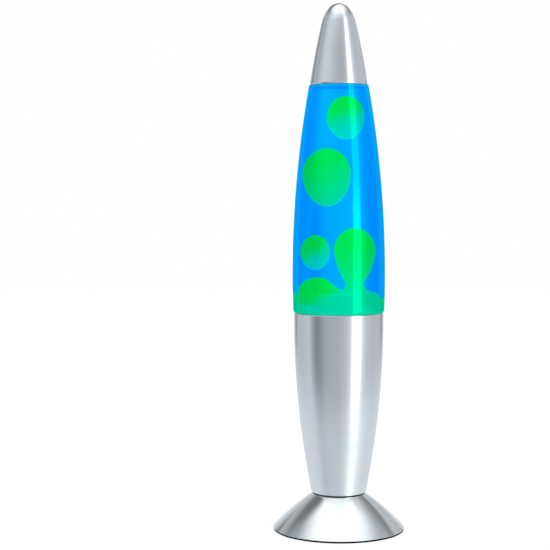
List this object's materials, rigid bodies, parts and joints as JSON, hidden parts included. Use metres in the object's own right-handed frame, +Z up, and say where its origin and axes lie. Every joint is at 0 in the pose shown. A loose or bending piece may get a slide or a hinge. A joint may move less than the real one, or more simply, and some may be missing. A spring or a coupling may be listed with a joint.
{
  "type": "lava lamp",
  "caption": "Free-standing wax motion lamp: a tapered bottle of dyed liquid and wax between a rounded cap and a casing on a conical foot.",
  "frame": {"origin": "on the floor at the centre of the foot's underside", "axes": "+Z up along the lamp's axis, +Y to the rear, where the cord inlet is, +X to the right of a viewer in front"},
  "size_m": [0.1018, 0.1018, 0.406],
  "materials": {
    "brushed_aluminium": "spun and brushed round, clear lacquered",
    "black_foam": "matt closed-cell foam",
    "black_rubber": "matt",
    "zinc_steel": "zinc plated",
    "tinned_steel": "bright tinned",
    "cast_iron": "black painted",
    "brass": "plain",
    "solder": "soldered dome",
    "tungsten": "drawn wire",
    "white_plastic": "moulded",
    "brown_lead": "wire insulation",
    "blue_lead": "wire insulation",
    "white_ceramic": "glazed porcelain",
    "black_glass": "fused insulator",
    "bulb_glass": "frosted face, silvered bowl",
    "clear_glass": "polished",
    "blue_liquid": "clear dyed liquid, lit from below",
    "green_wax": "soft glowing wax"
  },
  "bodies": {
    "stand": {"foot_cone": "brushed_aluminium", "base_pad": "black_foam", "base_plate": "zinc_steel", "counterweight": "cast_iron", "counterweight_screws": "zinc_steel", "cord_bushing": "black_rubber", "terminal_block": "white_plastic", "terminal_screws": "brass", "lead_live": "brown_lead", "lead_neutral": "blue_lead", "waist_gasket": "black_rubber", "stem_washer_lower": "zinc_steel", "stem_washer_upper": "zinc_steel", "stem_nut": "zinc_steel", "threaded_stem": "zinc_steel", "casing": "brushed_aluminium", "lampholder_body": "white_ceramic", "lampholder_sleeve": "brass", "lampholder_contact": "brass"},
    "bulb_contact": {"bulb_insulator": "black_glass", "bulb_tip": "solder"},
    "bulb": {"bulb_screw_cap": "brass", "bulb_envelope": "bulb_glass", "bulb_mount": "bulb_glass", "bulb_filament": "tungsten"},
    "bottle": {"bottle": "clear_glass", "crown_liner": "white_plastic", "crown_cap": "tinned_steel", "liquid": "blue_liquid", "wax_pool": "green_wax", "wax_coil": "tinned_steel"},
    "cap": {"cap": "brushed_aluminium"},
    "wax_upper": {"wax_upper": "green_wax"},
    "wax_large": {"wax_large": "green_wax"},
    "wax_small": {"wax_small": "green_wax"}
  },
  "joints": [
    {"name": "bottle_lift", "type": "slide", "parent": "stand", "child": "bottle", "axis": [0, 0, 1], "range_m": [0, 0.06]},
    {"name": "cap_lift", "type": "slide", "parent": "bottle", "child": "cap", "axis": [0, 0, 1], "range_m": [0, 0.06]},
    {"name": "bulb_lift", "type": "slide", "parent": "stand", "child": "bulb_contact", "axis": [0, 0, 1], "range_m": [0, 0.0085]},
    {"name": "bulb_turn", "type": "hinge", "parent": "bulb_contact", "child": "bulb", "pos_m": [0, 0, 0.05], "axis": [0, 0, 1], "range_deg": [0, 1080]},
    {"name": "wax_upper_rise", "type": "slide", "parent": "bottle", "child": "wax_upper", "axis": [0, 0, 1], "range_m": [-0.004, 0.009], "deforming": ["liquid"]},
    {"name": "wax_large_rise", "type": "slide", "parent": "bottle", "child": "wax_large", "axis": [0, 0, 1], "range_m": [-0.014, 0.002], "deforming": ["liquid"]},
    {"name": "wax_small_rise", "type": "slide", "parent": "bottle", "child": "wax_small", "axis": [0, 0, 1], "range_m": [-0.005, 0.007], "deforming": ["liquid"]}
  ],
  "couplings": [
    {"joint": "bulb_lift", "follows": "bulb_turn", "m_per_rad": 0.00044882}
  ]
}
